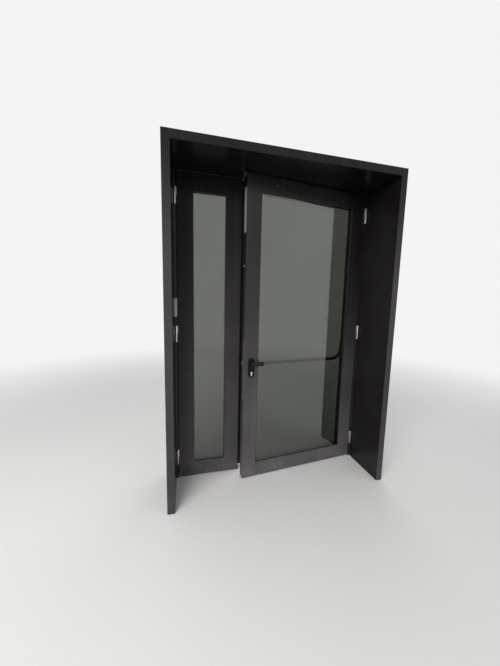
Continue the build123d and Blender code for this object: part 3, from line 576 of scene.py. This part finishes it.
def hinge_halves(side, upper):
    """One side's three barrels with their cranked wings: frame halves, or leaf halves above them."""
    bm = bmesh.new()
    barrel = (
        (0, 0.005), (PIN_HOLE, 0.005), (PIN_HOLE, 0.0588), (0.0064, 0.0588), (KNUCKLE, 0.0582),
        (KNUCKLE, 0.0503), (0.0067, 0.0500), (KNUCKLE, 0.0497), (KNUCKLE, 0.0030), (0.0066, 0.0014),
        (0.0054, 0.0003), (0.0044, 0), (0, 0),
    )
    inner_x = LEAF_EDGE if upper else FRAME_REBATE - WING_THICK
    outer_x = inner_x + WING_THICK
    bend_y = HINGE_AXIS.y + KNUCKLE
    front_y = bend_y - WING_THICK
    wing = (
        (inner_x, front_y), (HINGE_AXIS.x, front_y), (HINGE_AXIS.x, bend_y),
        (outer_x, bend_y), (outer_x, WING_BACK), (inner_x, WING_BACK),
    )
    way = 1 if upper else -1
    screw_x = side * (outer_x if upper else inner_x)
    for middle in HINGE_HEIGHTS:
        end = middle + way * HALF_HINGE
        near = middle + way * HINGE_PLAY
        lathe(bm, barrel, (side * HINGE_AXIS.x, HINGE_AXIS.y, end), (0, 0, -way), steps=40)
        strip(bm, [(side * x, y, near) for x, y in wing], (0, 0, end - near), edge=0.0003)
        for step in HINGE_SCREW_STEPS:
            place = (screw_x, HINGE_SCREW_Y, middle + way * step)
            screw(bm, place, (side * way, 0, 0), radius=0.0035, proud=0.0001)
    return bm


def hinge_sets():
    """Smooth hinges in place of the plain ones on both leaves."""
    sides = ((-1, "left", "passive", hinge_metal), (1, "right", "active", hinge_metal_turned))
    for side, hand, leaf, metal in sides:
        name = f"hinge_lower_halves_{hand}"
        lower = hinge_halves(side, upper=False)
        piece = finished(name, lower, hinge_metal, "frame_and_portal")
        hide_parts(f"hinge_frame_halves_{hand}")
        name = f"{leaf}_hinge_upper_halves"
        upper = hinge_halves(side, upper=True)
        piece = finished(name, upper, metal, f"{leaf}_leaf")
        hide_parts(f"{leaf}_hinge_halves")


# Handle and lock edge

# How far each round of the arm is from the spindle, and its radius
LEVER_ROUNDS = ((0, 0.013), (0.069, 0.019))
LEVER_DEPTHS = (0.038, 0.054)
# Whether the edge is the front one, the width of its rounding, and in how many steps
LEVER_EDGES = ((True, 0.0055, 5), (False, 0.003, 3))
MOST_SIDE_CORNERS = 12
PLATE_SCREW_RADIUS = 0.0045
EDGE_SCREW_RADIUS = 0.0038
PLATE_SCREWS = (SPINDLE_Z + 0.028, SPINDLE_Z - 0.032)
FACEPLATE_SCREWS = (0.664, 0.800, 1.000, 1.086, 1.888, 2.165)
STRIKE_SCREWS = (0.044, 0.264, 0.809, 0.971, 2.014, 2.234)
KEEP_SCREWS = (-0.016, 0.016)
BUTTON_Z = 1.645
CAP_X = LOCK_EDGE + 0.232
CAP_Z = 2.215


def lever_handle():
    """Flat arm that widens to a round end, on a neck with a collar."""
    bm = bmesh.new()
    for across, radius in LEVER_ROUNDS:
        for depth in LEVER_DEPTHS:
            centre = Vector((LOCK_X + across, LEAF_FACE - depth, SPINDLE_Z))
            place = Matrix.Translation(centre) @ Matrix.Rotation(math.pi / 2, 4, "X")
            bmesh.ops.create_circle(bm, cap_ends=False, segments=48, radius=radius, matrix=place)
    hull = bmesh.ops.convex_hull(bm, input=list(bm.verts), use_existing_faces=False)
    inner = only(bmesh.types.BMVert, hull["geom_interior"])
    bmesh.ops.delete(bm, geom=inner, context="VERTS")
    flat = math.radians(0.5)
    bmesh.ops.dissolve_limit(bm, angle_limit=flat, verts=list(bm.verts), edges=list(bm.edges))
    middle_y = LEAF_FACE - sum(LEVER_DEPTHS) / 2
    for in_front, width, steps in LEVER_EDGES:
        flats = [face for face in bm.faces if len(face.verts) > MOST_SIDE_CORNERS]
        caps = [face for face in flats if (face.calc_center_median().y < middle_y) == in_front]
        rounded(bm, {line for face in caps for line in face.edges}, width, steps)
    neck = (
        (0, 0.001), (0.0085, 0.001), (0.0085, 0.0123), (0.0115, 0.0123), (0.0115, 0.0180),
        (0.0108, 0.0195), (0.0092, 0.0203), (0.0085, 0.0215), (0.0085, 0.0330), (0.0092, 0.0365),
        (0.0100, 0.0385), (0, 0.0385),
    )
    lathe(bm, neck, (LOCK_X, LEAF_FACE, SPINDLE_Z), STREET, steps=40)
    piece = finished("flat_lever_on_its_neck", bm, lever_black, "lever")
    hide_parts("outside_lever")


def handle_screws():
    """Screws of the back plate, above and between its holes."""
    places = [(LOCK_X, LEAF_FACE - PLATE_FRONT, height) for height in PLATE_SCREWS]
    radius = PLATE_SCREW_RADIUS
    piece = screws("plate_screws", places, STREET, radius, screw_black, "active_leaf")
    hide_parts("backplate_screws")


def edge_screws():
    """Countersunk screws in the plates of both meeting edges and in the keep."""
    radius = EDGE_SCREW_RADIUS
    cover_x = LOCK_EDGE - 0.0012
    places = [(cover_x, MID_DEPTH, height) for height in FACEPLATE_SCREWS]
    screws("faceplate_screws", places, LEFT, radius, bolt_metal, "active_leaf")
    places = [(STRIKE_EDGE, MID_DEPTH, height) for height in STRIKE_SCREWS]
    screws("strike_screws", places, RIGHT, radius, bolt_metal, "passive_leaf")
    keep_z = HEAD_REBATE - 0.002
    places = [(ROD_X + across, MID_DEPTH, keep_z) for across in KEEP_SCREWS]
    screws("keep_screws", places, DOWN, 0.003, bolt_metal, "frame_and_portal")


def edge_button():
    """Pale domed button in the lock edge."""
    bm = bmesh.new()
    dome = (
        (0, 0), (0.005, 0), (0.005, 0.0036), (0.0047, 0.0042),
        (0.0040, 0.0047), (0.0024, 0.0050), (0, 0.0050),
    )
    lathe(bm, dome, (LOCK_EDGE + 0.003, MID_DEPTH, BUTTON_Z), LEFT, steps=28)
    piece = finished("domed_edge_button", bm, bumper_rubber, "active_leaf")
    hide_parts("edge_bumper")


def rail_cap():
    """Small dished cap in the wide leaf's top rail."""
    bm = bmesh.new()
    cap = (
        (0, 0), (0.005, 0), (0.005, 0.0003), (0.0045, 0.0007), (0.0030, 0.0008), (0.0013, 0.0008),
        (0.0010, 0.0005), (0, 0.0005),
    )
    lathe(bm, cap, (CAP_X, LEAF_FACE, CAP_Z), STREET, steps=28)
    piece = finished("dished_rail_cap", bm, plug_plastic, "active_leaf")
    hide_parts("rail_plug")


# Push bar

BAR_START = 0.012
# Depth and height of a housing's lower and upper screws
HOUSING_FOOT = (LEAF_BACK + 0.015, 0.922)
HOUSING_TOP = (LEAF_BACK + 0.046, 1.051)
HALF_FOOT = 0.0190


def push_bar():
    """Arm, bend, grip, bend and arm in one smooth tube, which starts a little below its pivots."""
    bm = bmesh.new()
    drop = BAR_LOW - BAR_PIVOT
    arm = drop.length - BAR_START - BAR_BEND
    drop.normalize()
    across = Vector(RIGHT)
    axis = drop.cross(across)
    lean = drop.to_track_quat("Z", "Y").to_matrix().to_4x4()
    place = Matrix.Translation(BAR_PIVOT + drop * BAR_START) @ lean
    bmesh.ops.create_circle(bm, cap_ends=False, segments=40, radius=BAR_RADIUS, matrix=place)

    def straight(loop, along):
        """A straight run from the open end, and its new open end."""
        made = bmesh.ops.extrude_edge_only(bm, edges=loop)["geom"]
        far = set(only(bmesh.types.BMVert, made))
        bmesh.ops.translate(bm, vec=along, verts=list(far))
        return [line for line in only(bmesh.types.BMEdge, made) if far.issuperset(line.verts)]

    def bend(loop, centre):
        """A quarter bend from the open end, and its new open end."""
        quarter = {"cent": centre, "axis": axis, "angle": math.pi / 2, "steps": 14}
        made = bmesh.ops.spin(bm, geom=loop, use_merge=False, **quarter)["geom_last"]
        return only(bmesh.types.BMEdge, made)

    loop = straight(list(bm.edges), drop * arm)
    loop = bend(loop, BAR_LOW + (across - drop) * BAR_BEND)
    loop = straight(loop, across * (BAR_SPAN - 2 * BAR_BEND))
    loop = bend(loop, BAR_LOW + across * (BAR_SPAN - BAR_BEND) - drop * BAR_BEND)
    straight(loop, drop * -arm)
    open_ends = [line for line in bm.edges if line.is_boundary]
    bmesh.ops.holes_fill(bm, edges=open_ends, sides=0)
    rounded(bm, open_ends, width=0.0014, steps=3)
    piece = finished("bent_push_bar", bm, bar_black, "push_bar")
    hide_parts("push_bar_tube")


def housing_screws():
    """Screws of both push bar housings: two at the foot and one above the slot."""
    bm = bmesh.new()
    for x in (BAR_PIVOT.x, BAR_PIVOT.x + BAR_SPAN):
        for across in (-HALF_FOOT, HALF_FOOT):
            screw(bm, (x + across, *HOUSING_FOOT), ROOM, radius=0.0018)
        screw(bm, (x, *HOUSING_TOP), ROOM, radius=0.0034)
    finished("push_bar_housing_screws", bm, screw_black, "active_leaf")


# Seals and small things

BRUSH_GROOVE = (MID_DEPTH - 0.0117, MID_DEPTH + 0.0117)
CARRIER = 0.003
TUFT_Z = 0.0060
TUFT_PITCH = 0.003
BOX_WALL = -0.7685
BOX_FACE = -0.7500
BOX_LOW = 1.272
BOX_HIGH = 1.404
BOX_FRONT = 0.0640
BOX_SPLIT = 0.0724
BOX_SCREW_X = -0.7595
BOX_SCREWS = (1.288, 1.393)


def meeting_blade():
    """Rubber blade on the narrow leaf's room face, which closes the gap between the leaves."""
    bm = bmesh.new()
    low_z, high_z = 0.012, 2.2448
    root_x = STRIKE_EDGE - 0.0255
    foot_x = STRIKE_EDGE - 0.0055
    tip_x = STRIKE_EDGE + 0.0385
    # Across the leaf, and out from its room face
    blade = (
        (root_x, 0), (root_x, 0.0028), (root_x + 0.008, 0.0040), (foot_x, 0.0036),
        (tip_x - 0.002, 0.0028), (tip_x, 0.0018), (tip_x - 0.002, 0.0008), (foot_x, 0.0004), (foot_x, 0),
    )
    strip(bm, [(x, LEAF_BACK + out, low_z) for x, out in blade], (0, 0, high_z - low_z))
    finished("meeting_gap_blade", bm, fixed_rubber, "passive_leaf")


def bottom_brush(leaf, x_range, material):
    """Strip brush in the groove under a leaf: its carrier and its tufts."""
    bm = bmesh.new()
    block(bm, x_range, BRUSH_GROOVE, (LEAF_LOW, LEAF_LOW + CARRIER), edge=0.0005)
    lean = random.Random(7)
    tuft = {"segments": 6, "radius1": 1.15, "radius2": 0.85, "depth": 0.0096}
    tuft_size = Matrix.Diagonal((0.0013, 0.0034, 1, 1))
    for number in range(int((x_range[1] - x_range[0]) / TUFT_PITCH)):
        centre = Vector((x_range[0] + (number + 0.5) * TUFT_PITCH, MID_DEPTH, TUFT_Z))
        sideways = Matrix.Rotation(lean.uniform(-0.12, 0.12), 4, "Y")
        forward = Matrix.Rotation(lean.uniform(-0.1, 0.1), 4, "X")
        place = Matrix.Translation(centre) @ sideways @ forward @ tuft_size
        bmesh.ops.create_cone(bm, cap_ends=True, matrix=place, **tuft)
    piece = finished(f"{leaf}_leaf_strip_brush", bm, material, f"{leaf}_leaf", smooth=20)
    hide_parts(f"{leaf}_bottom_brush")


def contact_box():
    """Small two-part box on the left reveal with its lid screws and one corner cut off."""
    bm = bmesh.new()
    outline = (
        (BOX_WALL, BOX_LOW), (BOX_FACE - 0.004, BOX_LOW), (BOX_FACE, BOX_LOW + 0.008),
        (BOX_FACE, BOX_HIGH), (BOX_WALL, BOX_HIGH),
    )
    strip(bm, [(x, BOX_FRONT, z) for x, z in outline], (0, 0.0078, 0), edge=0.0012, steps=3)
    strip(bm, [(x, BOX_SPLIT, z) for x, z in outline], (0, 0.0276, 0), edge=0.0008, steps=2)
    core_depths = (BOX_FRONT + 0.002, BOX_FRONT + 0.034)
    block(bm, (BOX_WALL, BOX_FACE - 0.0012), core_depths, (BOX_LOW + 0.009, BOX_HIGH - 0.0012))
    piece = finished("two_part_contact_box", bm, box_grey, "frame_and_portal")
    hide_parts("contact_box")
    places = [(BOX_SCREW_X, BOX_FRONT, height) for height in BOX_SCREWS]
    screws("contact_box_screws", places, STREET, 0.0022, bolt_metal, "frame_and_portal")


hinge_sets()
lever_handle()
handle_screws()
edge_screws()
edge_button()
rail_cap()
push_bar()
housing_screws()
meeting_blade()
bottom_brush("passive", (-LEAF_EDGE + 0.012, STRIKE_EDGE - 0.032), passive_pile)
bottom_brush("active", (LOCK_EDGE + 0.012, LEAF_EDGE - 0.012), active_pile)
contact_box()


# Floor, background, lights and camera

BACKGROUND = (0.90, 0.905, 0.90)
FLOOR = (0.80, 0.79, 0.775)
FLOOR_RADIUS = 40.0
FLOOR_FADE = (2.2, 6.5)
SKY = (0.96, 0.98, 1.0)
SKY_STRENGTH = 0.55
DOOR_MIDDLE = (0.0, 0.1, 1.1)
SENSOR_WIDTH = 36.0
LENS = 14.148
CAMERA_PLACE = (-0.6904, -1.8772, 1.3969)
CAMERA_HEADING = -0.2420
CAMERA_DOWN = 0.1223
CAMERA_ROLL = 0.0216


def pale_floor():
    """Large pale floor that keeps the door's shadow and fades into the background far out."""
    bm = bmesh.new()
    bmesh.ops.create_circle(bm, cap_ends=True, segments=96, radius=FLOOR_RADIUS)
    mesh = bpy.data.meshes.new("floor")
    bm.to_mesh(mesh)
    bm.free()
    floor = bpy.data.objects.new("floor", mesh)
    bpy.context.scene.collection.objects.link(floor)
    finish = Finish("floor_pale")
    away = finish.node("ShaderNodeVectorMath", {"operation": "LENGTH"}, {0: finish.place}, "Value")
    lit = finish.node("ShaderNodeBsdfDiffuse", None, {"Color": FLOOR})
    white = finish.node("ShaderNodeEmission", None, {"Color": BACKGROUND, "Strength": 1.0})
    share = away.between(*FLOOR_FADE) * finish.shown_ray()
    mixed = finish.node("ShaderNodeMixShader", None, {0: share, 1: lit, 2: white})
    finish.node("ShaderNodeOutputMaterial", None, {"Surface": mixed})
    mesh.materials.append(finish.material)


def pale_world():
    """Pale background to the camera, metal and glass, and an even soft light for the rest."""
    world = bpy.data.worlds.new("pale_world")
    bpy.context.scene.world = world
    sky = NodeTree(world)
    soft = sky.node("ShaderNodeBackground", None, {"Color": SKY, "Strength": SKY_STRENGTH})
    white = sky.node("ShaderNodeBackground", None, {"Color": BACKGROUND, "Strength": 1.0})
    mixed = sky.node("ShaderNodeMixShader", None, {0: sky.shown_ray(), 1: soft, 2: white})
    sky.node("ShaderNodeOutputWorld", None, {"Surface": mixed})


def soft_light(name, place, size, power):
    """Large soft lamp that faces the door and isn't seen itself."""
    lamp = bpy.data.lights.new(name, "AREA")
    lamp.shape = "RECTANGLE"
    lamp.size, lamp.size_y = size
    lamp.energy = power
    light = bpy.data.objects.new(name, lamp)
    bpy.context.scene.collection.objects.link(light)
    light.location = place
    light.rotation_euler = (Vector(DOOR_MIDDLE) - Vector(place)).to_track_quat("-Z", "Y").to_euler()
    light.visible_camera = False
    light.visible_glossy = False
    light.visible_transmission = False


def door_camera():
    """Camera at the photograph's place and angle."""
    data = bpy.data.cameras.new("door_camera")
    data.sensor_width = SENSOR_WIDTH
    data.lens = LENS
    data.clip_end = 100.0
    camera = bpy.data.objects.new("door_camera", data)
    bpy.context.scene.collection.objects.link(camera)
    heading = Matrix.Rotation(CAMERA_HEADING, 4, "Z")
    tilt = Matrix.Rotation(math.pi / 2 - CAMERA_DOWN, 4, "X")
    roll = Matrix.Rotation(CAMERA_ROLL, 4, "Z")
    camera.matrix_world = Matrix.Translation(CAMERA_PLACE) @ heading @ tilt @ roll
    bpy.context.scene.camera = camera


pale_floor()
pale_world()
soft_light("front_light", (-2.8, -3.6, 3.4), size=(3.0, 2.4), power=190)
soft_light("back_light", (2.5, 3.8, 3.4), size=(3.4, 2.8), power=42)
door_camera()
bpy.context.scene.view_settings.view_transform = "Standard"
